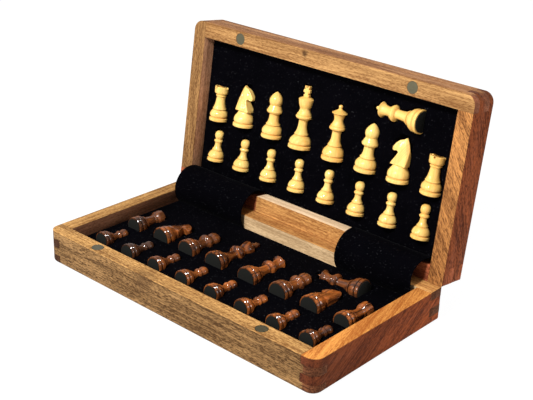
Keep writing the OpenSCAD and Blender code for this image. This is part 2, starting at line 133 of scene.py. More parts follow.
# The table glows where it is seen directly, so that it is as white as the room, and its
# paper still takes a faint share of the box's shadow.
table_reach = 4.0
glow_share = 0.85
table_white, tree, shader = new_material("table_white")
tree.nodes.remove(shader)
paper = add_node(tree, "ShaderNodeBsdfDiffuse", {"Color": (0.82, 0.82, 0.82, 1)})
glow = add_node(tree, "ShaderNodeEmission", {"Color": (1, 1, 1, 1), "Strength": 1.12})
share = maths(tree, "MULTIPLY", seen_directly(tree), glow_share)
surface = add_node(tree, "ShaderNodeMixShader", {0: share, 1: paper.outputs[0],
                                                 2: glow.outputs[0]})
tree.links.new(surface.outputs[0], tree.nodes["Material Output"].inputs["Surface"])
table_form = bmesh.new()
bmesh.ops.create_grid(table_form, x_segments=1, y_segments=1, size=table_reach)
bmesh.ops.translate(table_form, verts=table_form.verts, vec=(0, 0, -0.3 * mm))
table_top = new_object("table_top", mesh_from(table_form, "table_top"), table_white)

# The room is full white where it is seen directly, and lights the box with a quarter of that.
room_light = 0.25
room = bpy.data.worlds.new("room")
scene.world = room
room.use_nodes = True
tree = room.node_tree
background = tree.nodes["Background"]
background.inputs["Color"].default_value = (1, 1, 1, 1)
strength = maths(tree, "MULTIPLY_ADD", seen_directly(tree), 1 - room_light, room_light)
tree.links.new(strength, background.inputs["Strength"])


def add_lamp(name, place, target, size, watts):
    """A square lamp that faces a target."""
    lamp = bpy.data.objects.new(name, bpy.data.lights.new(name, "AREA"))
    scene.collection.objects.link(lamp)
    lamp.data.shape = "SQUARE"
    lamp.data.size = size
    lamp.data.energy = watts
    towards = (Vector(target) - Vector(place)).to_track_quat("-Z", "Y").to_matrix().to_4x4()
    lamp.matrix_world = Matrix.Translation(place) @ towards


add_lamp("lamp_overhead", (0.04, -0.85, 1.0), (0, 0, 0.05), 0.2, 22.5)
add_lamp("lamp_front", (-0.5, -1.0, 0.6), (0, 0, 0.08), 0.2, 3.5)
add_lamp("lamp_right", (0.75, 0.35, 0.36), (0.15, 0, 0.06), 0.25, 2.4)

# ---- Trays ---------------------------------------------------------------------------
# Two shallow trays, each of four rosewood boards with finger-jointed corners. The boards
# are sawn solid wood, planed pale on the rim, oiled, and a little rounded on every edge.
hinge_axis = Vector((0, 79.1 * mm, 30.1 * mm))
lid_opening = 97.4
lid_lean = radians(180 - lid_opening)
lid_turn = Matrix.Rotation(lid_lean, 4, "X")
tray_up = {"base": Vector((0, 0, 1)), "lid": lid_turn @ Vector((0, 0, 1))}
tray_front = {"base": Vector((0, -1, 0)), "lid": lid_turn @ Vector((0, 1, 0))}
tray_body = {"base": "lower_half", "lid": "lid"}
quarter = radians(90)


def vector_maths(tree, operation, *values):
    """The result of a Vector Math node."""
    return add_node(tree, "ShaderNodeVectorMath", dict(enumerate(values)),
                    operation=operation).outputs[0]


def soft_noise(tree, vector, scale, detail, roughness=0.5):
    """Cloudy noise from 0 to 1."""
    return add_node(tree, "ShaderNodeTexNoise", {"Vector": vector, "Scale": scale, "Detail": detail,
                                                 "Roughness": roughness}).outputs[0]


def ramp(tree, value, low, high, start, end):
    """A value that goes from start to end as another goes from low to high."""
    return add_node(tree, "ShaderNodeMapRange",
                    {0: value, 1: low, 2: high, 3: start, 4: end}).outputs[0]


def mixed(tree, factor, first, second):
    """A mix of two colours, each a value or an output."""
    return add_node(tree, "ShaderNodeMix", {0: factor, 6: first, 7: second},
                    data_type="RGBA").outputs[2]


wood_inputs = {"Vector": "Vector", "Light": "Color", "Dark": "Color", "Bands": "Float",
               "Streaks": "Float", "Pores": "Float", "Waves": "Float"}
wood_outputs = {"Color": "Color", "Roughness": "Float", "Height": "Float"}
# The middle of a board's rings, across it and through it, in metres.
pith = (-0.043, 0.05)


def make_sawn_wood():
    """Straight-grained wood, with the grain along X of the vector and rings about a far pith."""
    group = bpy.data.node_groups.new("sawn_wood", "ShaderNodeTree")
    for sockets, way in ((wood_inputs, "INPUT"), (wood_outputs, "OUTPUT")):
        for name, kind in sockets.items():
            group.interface.new_socket(name, in_out=way, socket_type="NodeSocket" + kind)
    given = group.nodes.new("NodeGroupInput").outputs
    result = group.nodes.new("NodeGroupOutput").inputs

    def streaky(vector, marks_a_metre, detail):
        return soft_noise(group, vector_maths(group, "MULTIPLY", vector, marks_a_metre), 1.0,
                          detail, 0.6)

    wander = vector_maths(group, "MULTIPLY", given["Vector"], (14, 45, 45))
    wander = add_node(group, "ShaderNodeTexNoise",
                      {"Vector": wander, "Scale": 1.0}).outputs["Color"]
    wander = vector_maths(group, "ADD", wander, (-0.5, -0.5, -0.5))
    wander = add_node(group, "ShaderNodeVectorMath", {0: wander, "Scale": given["Waves"]},
                      operation="SCALE").outputs[0]
    place = vector_maths(group, "ADD", wander, given["Vector"])
    axes = add_node(group, "ShaderNodeSeparateXYZ", {0: place}).outputs
    across, through = (maths(group, "POWER", maths(group, "SUBTRACT", axes[k + 1], pith[k]), 2.0)
                       for k in (0, 1))
    radius = maths(group, "POWER", maths(group, "ADD", across, through), 0.5)
    ring = add_node(group, "ShaderNodeCombineXYZ", {0: maths(group, "MULTIPLY", axes[0], 0.05),
                                                    1: radius}).outputs[0]
    bands = ramp(group, streaky(ring, (60, 330, 1), 3.0), 0.36, 0.66, 0.0, given["Bands"])
    streaks = ramp(group, streaky(place, (24, 700, 700), 4.0), 0.40, 0.64, 0.0, given["Streaks"])
    pores = ramp(group, streaky(place, (300, 1750, 1750), 2.0), 0.44, 0.63, 0.0, given["Pores"])
    clouds = ramp(group, streaky(place, (14, 50, 50), 2.0), 0.3, 0.7, -0.25, 0.22)
    marks = maths(group, "ADD", maths(group, "ADD", bands, streaks), pores)
    marks = maths(group, "ADD", marks, clouds)
    darkness = add_node(group, "ShaderNodeClamp", {0: marks}).outputs[0]
    cuts = maths(group, "ADD", pores, streaks)
    group.links.new(mixed(group, darkness, given["Light"], given["Dark"]), result["Color"])
    group.links.new(maths(group, "MULTIPLY_ADD", darkness, 0.20, 0.46), result["Roughness"])
    group.links.new(maths(group, "MULTIPLY", cuts, -0.5), result["Height"])
    return group


sawn_wood = make_sawn_wood()


def add_relief(tree, height, strength, depth):
    """Roughens a material's surface with a bump, whose depth is in mm."""
    relief = add_node(tree, "ShaderNodeBump", {"Strength": strength, "Distance": depth * mm,
                                               "Height": height})
    tree.links.new(relief.outputs[0], tree.nodes["Principled BSDF"].inputs["Normal"])


def finish_wood(tree, vector, tones, grain, relief, coat=0.0, coat_roughness=0.3):
    """Gives a material sawn wood of its own light and dark tone, grain and lacquer."""
    shader = tree.nodes["Principled BSDF"]
    wood = add_node(tree, "ShaderNodeGroup", dict(zip(wood_inputs, (vector, *tones, *grain))),
                    node_tree=sawn_wood)
    tree.links.new(wood.outputs["Color"], shader.inputs["Base Color"])
    tree.links.new(wood.outputs["Roughness"], shader.inputs["Roughness"])
    add_relief(tree, wood.outputs["Height"], relief, 0.1)
    shader.inputs["Specular IOR Level"].default_value = 0.03
    shader.inputs["Coat Weight"].default_value = coat
    shader.inputs["Coat Roughness"].default_value = coat_roughness


def object_vector(tree, turn=(0, 0, 0), shift=(0, 0, 0)):
    """Object coordinates, turned so that a board's length lies along X."""
    place = tree.nodes.new("ShaderNodeTexCoord").outputs["Object"]
    return add_node(tree, "ShaderNodeMapping", {"Vector": place, "Rotation": turn,
                                                "Location": shift}).outputs[0]


def rosewood(name, turn, planed, oiled, inside, grain, tilt=(0, 0, 0), shift=(0, 0, 0),
             change=None, knot=None):
    """Rosewood in three tones, for the planed rim, the oiled outside and the inside face.

    `turn` lays the grain along the board. The first two values of `tilt` slant it on the
    outside, the third on the rim and inside. `change` is a place along the board, the distance
    from it at which the tone changes, over what width, by how much, its tones from there, and
    whether the rim changes too; on the lid's hinge board the changed tone is a painted shadow of
    the flaps. `knot` is a place, a radius and a darkness. Lengths are in mm."""
    material, tree, _ = new_material(name)
    rim, cut, inner = (add_node(tree, "ShaderNodeAttribute", attribute_name=layer).outputs["Fac"]
                       for layer in ("planed", "cut_end", "inside"))
    side_turn = (turn[0] + tilt[0], turn[1] + tilt[1], turn[2])
    rim_turn = (turn[0], turn[1], turn[2] + tilt[2])
    vector = add_node(tree, "ShaderNodeMix", {0: maths(tree, "MAXIMUM", rim, inner),
                                              4: object_vector(tree, side_turn, shift),
                                              5: object_vector(tree, rim_turn, shift)},
                      data_type="VECTOR").outputs[1]
    tones = [mixed(tree, rim, mixed(tree, inner, oiled[i], inside[i]), planed[i]) for i in (0, 1)]
    tones = [mixed(tree, cut, tone, end_grain[i]) for i, tone in enumerate(tones)]
    if change:
        centre, start, width, share, changed, on_rim = change
        along = add_node(tree, "ShaderNodeSeparateXYZ", {0: object_vector(tree, turn)}).outputs[0]
        away = maths(tree, "ABSOLUTE", maths(tree, "SUBTRACT", along, centre * mm))
        part = ramp(tree, away, start * mm, (start + width) * mm, 0.0, share)
        if not on_rim:
            part = maths(tree, "MULTIPLY", part, maths(tree, "SUBTRACT", 1.0, rim))
        tones = [mixed(tree, part, tone, changed[i]) for i, tone in enumerate(tones)]
    if knot:
        spot, radius, darkness = [a * mm for a in knot[0]], knot[1] * mm, knot[2]
        place = object_vector(tree)
        rough = add_node(tree, "ShaderNodeTexNoise", {"Vector": place, "Scale": 190.0,
                                                      "Detail": 3.0}).outputs["Color"]
        moved = vector_maths(tree, "MULTIPLY_ADD", rough, (radius,) * 3, place)
        gap = add_node(tree, "ShaderNodeVectorMath", {0: moved, 1: [a + radius / 2 for a in spot]},
                       operation="DISTANCE").outputs["Value"]
        core = ramp(tree, gap, radius * 0.3, radius, darkness, 0.0)
        tones = [mixed(tree, core, tone, end_grain[1]) for tone in tones]
    finish_wood(tree, vector, tones, grain, 0.5)
    return material


easing = 0.35 * mm
on_axis = 0.3 * mm


def eased_copy(node):
    """The merged mesh of a CAD node with its sharp edges rounded, as a bmesh."""
    form = bmesh.new()
    form.from_mesh(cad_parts[node].data)
    bmesh.ops.remove_doubles(form, verts=form.verts, dist=0.002 * mm)
    bmesh.ops.dissolve_limit(form, angle_limit=radians(0.5), verts=form.verts, edges=form.edges)
    for vert in form.verts:
        off = vert.co - hinge_axis
        if hypot(off.y, off.z) < on_axis:
            vert.co -= Vector((0, off.y, off.z))
    sharp = [e for e in form.edges if len(e.link_faces) == 2 and e.calc_face_angle(0) > radians(50)
             and not all(hypot(v.co.y - hinge_axis.y, v.co.z - hinge_axis.z) < on_axis
                         for v in e.verts)]
    bmesh.ops.bevel(form, geom=sharp, offset=easing, affect="EDGES", segments=2, profile=0.5,
                    material=-1, clamp_overlap=True)
    return form


# Each tone is a light and a dark colour.
end_grain = ((0.075, 0.034, 0.018, 1), (0.032, 0.014, 0.008, 1))
# Painted shadow of the velvet flaps: a dark red-brown for the wood beside and under them.
flap_shadow_red = ((0.50, 0.140, 0.055, 1), (0.150, 0.040, 0.018, 1))
pink_maple = ((0.97, 0.72, 0.47, 1), (0.64, 0.43, 0.25, 1))
corner_brown = ((0.18, 0.062, 0.027, 1), (0.048, 0.016, 0.008, 1))
lid_corner = ((0.31, 0.105, 0.052, 1), (0.10, 0.036, 0.020, 1))
gold = ((0.62, 0.345, 0.120, 1), (0.20, 0.090, 0.028, 1))
lid_gold = ((0.51, 0.280, 0.104, 1), (0.18, 0.078, 0.026, 1))
brown_gold = ((0.40, 0.215, 0.080, 1), (0.120, 0.052, 0.018, 1))
bright_gold = ((0.70, 0.36, 0.115, 1), (0.26, 0.100, 0.028, 1))
pale_gold = ((0.74, 0.52, 0.29, 1), (0.38, 0.24, 0.12, 1))
orange_gold = ((0.72, 0.31, 0.073, 1), (0.34, 0.10, 0.020, 1))
amber = ((0.52, 0.225, 0.066, 1), (0.120, 0.043, 0.014, 1))
lid_tawny = ((0.64, 0.33, 0.185, 1), (0.25, 0.115, 0.060, 1))
brown = ((0.325, 0.180, 0.070, 1), (0.064, 0.031, 0.012, 1))
tawny = ((0.56, 0.275, 0.115, 1), (0.18, 0.070, 0.028, 1))
dark_brown = ((0.225, 0.100, 0.053, 1), (0.090, 0.036, 0.019, 1))
red_brown = ((0.41, 0.092, 0.023, 1), (0.085, 0.020, 0.008, 1))
near_brown = ((0.15, 0.040, 0.015, 1), (0.040, 0.011, 0.006, 1))
lid_red = ((0.31, 0.078, 0.024, 1), (0.066, 0.017, 0.008, 1))
# Each grain is how strong its bands, streaks and pores are, and how far it wanders.
plain = (0.45, 0.50, 0.55, 0.004)
fine = (0.22, 0.55, 0.85, 0.003)
speckled = (0.35, 0.40, 0.75, 0.008)
along_lid, base_side, lid_side = (-lid_lean, 0, 0), (0, 0, -quarter), (-lid_lean, 0, -quarter)
# Of each board: how dark its cut ends are, which way its length lies, the tones of its rim,
# outside and inside, its grain, and what else it has.
# The dark brown inside tones are partly the wood's own and partly painted shade on the trays' inner faces.
walls = {
    "base_front_wall": (0.7, (0, 0, 0), gold, brown, dark_brown, fine, dict(
        change=(-100, 240.5, 1.2, 0.9, corner_brown, False), knot=((-30, -79, 26), 16, 0.45))),
    "base_hinge_wall": (0.7, (0, 0, 0), bright_gold, brown, pale_gold, plain, dict(
        shift=(0.31, 0.01, 0.006), change=(0, 150, 1.2, 0.85, corner_brown, False))),
    "base_left_wall": (0.95, base_side, gold, dark_brown, dark_brown, plain, dict(
        shift=(0.1, 0.2, 0))),
    "base_right_wall": (0.6, base_side, orange_gold, red_brown, dark_brown, plain, dict(
        tilt=(-0.6, 0, -0.3), shift=(0.2, -0.11, 0.004),
        change=(79, 20, 125, 0.95, near_brown, False))),
    "lid_front_wall": (0.5, along_lid, lid_gold, tawny, dark_brown, plain, dict(
        shift=(0.17, 0.02, 0.001), change=(-100, 245.5, 3, 0.92, lid_corner, False),
        knot=((-18.4, 99, 183), 4, 0.75))),
    # Past its middle, where the flaps lie, this board and its rim take the painted flap shadow.
    "lid_hinge_wall": (0.35, along_lid, bright_gold, brown, pink_maple, plain, dict(
        tilt=(0, 0.35, 0), shift=(0.43, 0.03, 0.009), change=(4, 55.6, 1.2, 1.0, flap_shadow_red, True))),
    "lid_left_wall": (0.5, lid_side, brown_gold, tawny, lid_tawny, speckled, dict(
        shift=(0.4, 0.19, 0.003))),
    "lid_right_wall": (0.5, lid_side, amber, lid_red, dark_brown, speckled, dict(
        tilt=(-0.4, 0, -0.6), shift=(0.6, -0.13, 0.007))),
}
rim_depth = 1.5 * mm
for node, (ends, *look, more) in walls.items():
    half, side, _ = node.split("_")
    form = eased_copy(node)
    planed, cut_end, inside = (form.faces.layers.float.new(name)
                               for name in ("planed", "cut_end", "inside"))
    up, to_front = tray_up[half], tray_front[half]
    along = Vector((1, 0, 0)) if side in ("front", "hinge") else to_front
    inwards = {"front": -to_front, "hinge": to_front, "left": Vector((1, 0, 0)),
               "right": Vector((-1, 0, 0))}[side]
    for face in form.faces:
        at_rim = (face.calc_center_median() - hinge_axis).dot(up) > -rim_depth
        face[planed] = float(at_rim and face.normal.dot(up) > 0.3)
        face[inside] = float(not at_rim and face.normal.dot(inwards) > 0.9)
        across = abs(face.normal.dot(along))
        face[cut_end] = ends * min(1, max(0, (across - 0.15) / 0.5))
    new_object(node + "_board", mesh_from(form, node), rosewood(node + "_rosewood", *look, **more),
               tray_body[half], [node])

# ---- Playing board -------------------------------------------------------------------
# Each half's outside carries 32 squares and a border of thin veneer, glued to a plywood
# panel. The dark squares are rosewood and the light ones maple, sanded flush and lacquered.
maple = ((0.74, 0.56, 0.33, 1), (0.60, 0.41, 0.21, 1))
dark_rosewood = ((0.150, 0.066, 0.030, 1), (0.055, 0.022, 0.011, 1))
birch = ((0.60, 0.44, 0.26, 1), (0.42, 0.28, 0.15, 1))


def veneer(name, lean, tones):
    """Lacquered veneer whose squares each have a piece of wood of their own."""
    material, tree, _ = new_material(name)
    flat = object_vector(tree, (lean, 0, 0))
    square = vector_maths(tree, "SNAP", flat, (32 * mm, 32 * mm, 1.0))
    change = add_node(tree, "ShaderNodeTexWhiteNoise", {"Vector": square}).outputs["Color"]
    moved = vector_maths(tree, "MULTIPLY_ADD", change, (0.3, 0.3, 0.02), flat)
    finish_wood(tree, moved, tones, (0.5, 0.35, 0.25, 0.003), 0.3, 0.35, 0.2)
    return material


def give(node, material):
    """Swaps a CAD node's material for a finished one."""
    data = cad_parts[node].data
    data.materials.clear()
    data.materials.append(material)


for half, lean in (("base", 0), ("lid", -lid_lean)):
    give(half + "_dark_veneer", veneer(half + "_dark_veneer", lean, dark_rosewood))
    give(half + "_light_squares", veneer(half + "_light_veneer", lean, maple))
    plywood, tree, _ = new_material(half + "_plywood")
    finish_wood(tree, object_vector(tree, (lean, 0, 0)), birch, (0.6, 0.5, 0.1, 0.003), 0.3)
    give(half + "_board_panel", plywood)


# ---- Metal parts ---------------------------------------------------------------------
# The steel sheets under the velvet, the nickel-plated magnets let into the rims, and the
# brass hinges with their steel pins and brass screws.
def metal(name, color, dull, roughness):
    """Metal with duller patches and fine rubbed marks."""
    material, tree, shader = new_material(name)
    place = object_vector(tree)
    patches = soft_noise(tree, place, 225.0, 4.0)
    marks = soft_noise(tree, place, 900.0, 3.0)
    tree.links.new(mixed(tree, patches, color, dull), shader.inputs["Base Color"])
    tree.links.new(ramp(tree, marks, 0.0, 1.0, roughness - 0.1, roughness + 0.15),
                   shader.inputs["Roughness"])
    add_relief(tree, marks, 0.15, 0.05)
    shader.inputs["Metallic"].default_value = 1.0
    return material


sheet_steel = metal("sheet_steel", (0.5, 0.5, 0.5, 1), (0.38, 0.38, 0.37, 1), 0.4)
satin_nickel = metal("satin_nickel", (0.150, 0.135, 0.085, 1), (0.090, 0.082, 0.052, 1), 0.45)
hinge_brass = metal("hinge_brass", (0.78, 0.56, 0.24, 1), (0.52, 0.35, 0.14, 1), 0.32)
pin_steel = metal("pin_steel", (0.6, 0.6, 0.6, 1), (0.42, 0.42, 0.42, 1), 0.3)
for half in ("base", "lid"):
    give(half + "_steel_sheet", sheet_steel)
    give(half + "_closure_magnets", satin_nickel)
    give(half + "_hinge_leaves", hinge_brass)
    give(half + "_hinge_screws", hinge_brass)
give("hinge_pins", pin_steel)

# ---- Chess pieces --------------------------------------------------------------------
# Seventeen a side, turned from boxwood, the dark ones stained and all lacquered. Each has
# green-grey felt glued under its foot. Outlines are half sections, in mm: radius, height.
outlines = {
    "king": [
        (10.2, 0.85), (10.6, 1.25), (10.65, 1.9), (10.45, 2.15), (10.65, 2.4), (10.6, 3.5),
        (10.2, 3.9), (9.3, 4.2), (9.0, 4.6), (9.4, 5.1), (10.1, 5.6), (10.25, 6.5), (9.95, 7.4),
        (9.65, 8.2), (9.2, 9.2), (8.45, 10.2), (7.6, 11.1), (6.75, 12), (6.1, 12.6), (5.5, 12.8),
        (5.5, 13.1), (6.4, 13.4), (6.45, 13.9), (6.2, 14.4), (5.75, 14.8), (5.6, 15.3), (5.2, 16.2),
        (4.8, 17.3), (4.45, 18.8), (4.2, 20.5), (4.05, 22.5), (4.0, 24.5), (4.05, 26), (4.4, 26.9),
        (5.2, 27.3), (6.6, 27.9), (7.3, 28.7), (7.45, 29.4), (7.3, 30.1), (6.8, 30.7), (6.4, 30.95),
        (6.4, 31.15), (6.7, 31.5), (6.5, 32.1), (5.9, 32.7), (5.55, 33.3), (5.2, 34.2),
        (4.85, 35.2), (4.6, 36.1), (4.6, 36.8), (4.9, 37.6), (5.5, 38.7), (6.0, 40), (6.4, 41.5),
        (6.65, 43), (6.9, 44.4), (6.95, 45.1), (6.7, 45.5), (6.1, 45.7), (6.0, 45.9), (4.9, 46.5),
        (3.8, 46.9), (3.3, 47.1)],
    "queen": [
        (9.8, 0.85), (10.15, 1.25), (10.2, 1.9), (10.0, 2.15), (10.2, 2.4), (10.15, 3.4),
        (9.8, 3.75), (8.95, 4.1), (8.65, 4.5), (9.0, 5.0), (9.7, 5.5), (9.85, 6.5), (9.65, 7.4),
        (9.4, 8.3), (9.0, 9.3), (8.3, 10.3), (7.5, 11.3), (6.7, 12.3), (6.1, 12.9), (5.4, 13.1),
        (5.4, 13.35), (6.25, 13.65), (6.3, 14.2), (6.05, 14.7), (5.6, 15.15), (5.45, 15.6),
        (5.0, 16.6), (4.6, 17.8), (4.25, 19.3), (4.1, 21), (4.0, 23), (3.95, 25), (4.0, 26.1),
        (4.4, 26.8), (5.4, 27.2), (6.6, 27.8), (7.1, 28.5), (7.2, 29.1), (7.05, 29.8), (6.6, 30.4),
        (6.25, 30.6), (6.25, 30.8), (6.4, 31.2), (6.1, 31.7), (5.6, 32.3), (5.2, 33.1), (4.7, 34.1),
        (4.3, 35.1), (4.1, 36), (4.15, 37), (4.35, 38.2), (4.65, 39.4), (5.0, 40.4), (5.7, 41.4),
        (6.5, 41.9), (6.9, 42.2), (6.9, 42.6), (6.1, 42.9), (5.7, 43.2), (5.0, 43.8), (3.6, 44.5),
        (2.4, 45.2), (1.7, 46), (1.45, 46.6), (1.6, 47.1), (1.8, 47.8), (1.65, 48.6), (1.2, 49.2),
        (0.4, 49.5)],
    "bishop": [
        (9.4, 0.85), (9.75, 1.25), (9.8, 1.8), (9.6, 2.05), (9.8, 2.3), (9.75, 3.3), (9.4, 3.7),
        (8.55, 4.0), (8.25, 4.4), (8.6, 4.9), (9.3, 5.4), (9.5, 6.3), (9.4, 7.3), (9.2, 8.3),
        (8.8, 9.3), (8.1, 10.3), (7.2, 11.3), (6.55, 12), (5.7, 12.25), (5.7, 12.5), (6.55, 12.8),
        (6.65, 13.3), (6.3, 13.8), (5.8, 14.2), (5.6, 14.7), (5.2, 15.7), (4.85, 17), (4.65, 18.3),
        (4.55, 20), (4.5, 21.8), (4.6, 22.6), (5.0, 23.1), (6.2, 23.6), (7.1, 24.3), (7.4, 25.1),
        (7.35, 25.8), (7.0, 26.5), (6.7, 26.8), (6.7, 27), (6.45, 27.5), (6.0, 28.5), (5.5, 29.6),
        (5.15, 30.4), (5.0, 30.8), (5.3, 31.3), (5.7, 32.3), (6.05, 33.4), (6.2, 34.6),
        (6.15, 35.6), (5.85, 36.8), (5.35, 37.9), (4.7, 39), (3.9, 40.1), (2.9, 41.2), (1.8, 42.1),
        (0.8, 42.75), (0.3, 43)],
    "rook": [
        (8.5, 0.85), (8.85, 1.25), (8.9, 1.8), (8.7, 2.05), (8.9, 2.3), (8.85, 3.3), (8.5, 3.7),
        (7.65, 4.0), (7.35, 4.4), (7.75, 4.9), (8.5, 5.4), (8.75, 6.3), (8.65, 7.2), (8.4, 8.1),
        (8.0, 9), (7.4, 9.9), (6.8, 10.7), (6.4, 11.15), (5.7, 11.35), (5.7, 11.6), (6.5, 11.9),
        (6.6, 12.4), (6.4, 12.9), (6.0, 13.3), (5.85, 14), (5.5, 15), (5.15, 16.2), (4.85, 17.8),
        (4.6, 19.5), (4.4, 21.3), (4.3, 22.8), (4.3, 23.8), (4.5, 24.2), (5.0, 24.5), (5.1, 25),
        (4.75, 25.4), (4.8, 25.8), (5.5, 26.5), (6.3, 27.2), (6.65, 27.9), (6.7, 29), (6.75, 31),
        (6.85, 32), (5.0, 32)],
    "knight": [
        (9.5, 0.85), (9.85, 1.25), (9.9, 1.8), (9.7, 2.05), (9.9, 2.3), (9.85, 3.4), (9.5, 3.8),
        (8.65, 4.1), (8.35, 4.5), (8.7, 5.0), (9.3, 5.5), (9.5, 6.5), (9.45, 7.5), (9.3, 8.6),
        (9.0, 9.6), (8.5, 10.6), (7.8, 11.6), (7.1, 12.6), (6.5, 13.6), (6.1, 14.5), (6.0, 15.2)],
    "pawn": [
        (7.75, 0.85), (8.1, 1.2), (8.15, 1.7), (7.95, 1.9), (8.15, 2.1), (8.1, 3.0), (7.8, 3.3),
        (7.05, 3.6), (6.75, 3.95), (7.05, 4.4), (7.65, 4.85), (7.85, 5.7), (7.65, 6.6), (7.35, 7.5),
        (6.9, 8.5), (6.2, 9.5), (5.5, 10.3), (4.8, 10.9), (4.2, 11.05), (4.2, 11.3),
        (4.9, 11.6), (4.85, 12.1), (4.5, 12.5), (4.1, 13.1), (3.6, 14.1), (3.25, 15.2),
        (3.05, 16.5), (3.0, 17.8), (3.1, 18.6), (3.6, 19.1), (4.15, 19.7), (4.3, 20.4), (4.15, 21),
        (3.6, 21.5), (3.2, 21.8), (3.1, 22.2), (3.5, 22.9), (4.0, 23.9), (4.3, 25.1), (4.35, 26.1),
        (4.25, 27.1), (3.9, 28.2), (3.2, 29.2), (2.1, 29.9), (0.9, 30.17), (0.3, 30.2)],
}
facets = 48


def lathe(outline):
    """A turned solid about Z, from a half section that gets a flat foot and top."""
    form = bmesh.new()
    section = [(0, outline[0][1])] + list(outline) + [(0, outline[-1][1])]
    points = [form.verts.new((r * mm, 0, z * mm)) for r, z in section]
    edges = [form.edges.new(pair) for pair in zip(points, points[1:])]
    bmesh.ops.spin(form, geom=points + edges, cent=(0, 0, 0), axis=(0, 0, 1), angle=2 * pi,
                   steps=facets, use_merge=True, use_duplicate=False)
    bmesh.ops.remove_doubles(form, verts=form.verts, dist=0.005 * mm)
    bmesh.ops.recalc_face_normals(form, faces=form.faces)
    return form


rook_top, battlement_top, battlement_inside, notch_facets = 32.0, 33.6, 5.2, 2


def add_battlements(form):
    """Raises four walls on the rook's top, with a notch on each of its four sides."""
    rim = []
    for face in form.faces:
        centre = face.calc_center_median() / mm
        reach = hypot(centre.x, centre.y)
        around = (atan2(centre.y, centre.x) / (2 * pi) * facets + 1.5) % (facets / 4)
        if (face.normal.z > 0.9 and centre.z > rook_top - 0.1 and reach > battlement_inside
                and around > notch_facets):
            rim.append(face)
    raised = bmesh.ops.extrude_face_region(form, geom=rim)["geom"]
    tops = [v for v in raised if isinstance(v, bmesh.types.BMVert)]
    bmesh.ops.delete(form, geom=rim, context="FACES")
    for vert in tops:
        vert.co.z = battlement_top * mm
    sharp = [e for e in form.edges if e.calc_length() and all(v in tops for v in e.verts)
             and len(e.link_faces) == 2 and e.calc_face_angle(0) > radians(50)]
    bmesh.ops.bevel(form, geom=sharp, offset=0.2 * mm, affect="EDGES", segments=2, profile=0.5,
                    material=-1)


def add_block(form, low, high, rounding):
    """A block between two corners with rounded edges, in mm."""
    size = [(b - a) * mm for a, b in zip(low, high)]
    middle = [(a + b) / 2 * mm for a, b in zip(low, high)]
    made = bmesh.ops.create_cube(form, size=1.0, matrix=Matrix.Translation(middle)
                                 @ Matrix.Diagonal(size).to_4x4())
    edges = list({e for v in made["verts"] for e in v.link_edges})
    bmesh.ops.bevel(form, geom=edges, offset=rounding * mm, affect="EDGES", segments=3,
                    profile=0.5, material=-1)


# The horse's side view, in mm: x towards the muzzle and height, from the mane's foot round
# over the ears and down the face, mouth and chest.
horse_side = [
    (-7.8, 15.2), (-8.0, 18), (-8.0, 22), (-7.8, 26), (-7.2, 29.5), (-6.2, 32.8), (-4.9, 35.6),
    (-3.6, 37.8), (-2.6, 39.0), (-1.9, 38.2), (-1.0, 37.2), (0.6, 36.9), (2.4, 36.2), (4.2, 34.9),
    (6.0, 33.0), (7.5, 31.0), (8.6, 29.2), (8.8, 28.0), (8.4, 26.9), (7.4, 26.2), (6.0, 26.4),
    (4.6, 26.9), (3.0, 26.6), (2.3, 25.6), (2.8, 24.2), (4.0, 21.8), (5.4, 19.2), (6.8, 16.9),
    (7.2, 15.2)]


def bump_at(x, z, at_x, at_z, width):
    """A smooth round bump, 1 high, about a place."""
    return exp(-((x - at_x) ** 2 + (z - at_z) ** 2) / width ** 2)


def carved_depth(x, z):
    """How deep the cuts of the mane, the mouth, the eye and the nostril are, in mm."""
    mouth = [0.5 * bump_at(x, z, 8.2 - 0.6 * i, 27.9 + 0.04 * i, 0.4) for i in range(5)]
    eye = 0.6 * bump_at(x, z, 4.0, 32.7, 0.7)
    nostril = 0.45 * bump_at(x, z, 7.6, 29.4, 0.45)
    slant = x + 0.62 * (z - 15)
    in_mane = z > 16 and 0.2 < slant < 7.4
    mane = 0.18 - 0.18 * cos(2 * pi * (slant - 0.2) / 1.8) if in_mane else 0
    return max(mane, eye, nostril, *mouth)


def half_thickness(x, z):
    """How far the carved horse reaches sideways at a place in its side view, in mm."""
    steps = [(15, 5.3), (18, 5.0), (22, 4.3), (26, 3.4), (30, 3.0), (34, 2.5), (39, 1.4)]
    reach = steps[-1][1]
    for (z0, t0), (z1, t1) in zip(steps, steps[1:]):
        if z <= z1:
            reach = t0 + (t1 - t0) * max(0.0, z - z0) / (z1 - z0)
            break
    back = -8.0 + max(0, z - 27) ** 1.5 * 0.13
    crest = max(0.5, 5.4 * (1 - (z - 15) / 15)) + 0.95 * max(0, x - back)
    reach = min(reach, crest)
    if z > 26:
        reach *= 1 - 0.22 * min(1, max(0, (x - 4) / 4.5))
    cheek = 0.6 * bump_at(x, z, 1.5, 30.4, 2.4)
    brow = 0.45 * bump_at(x, z, 2.6, 33.6, 0.8)
    return reach + cheek + brow - carved_depth(x, z)


half_slab = 5


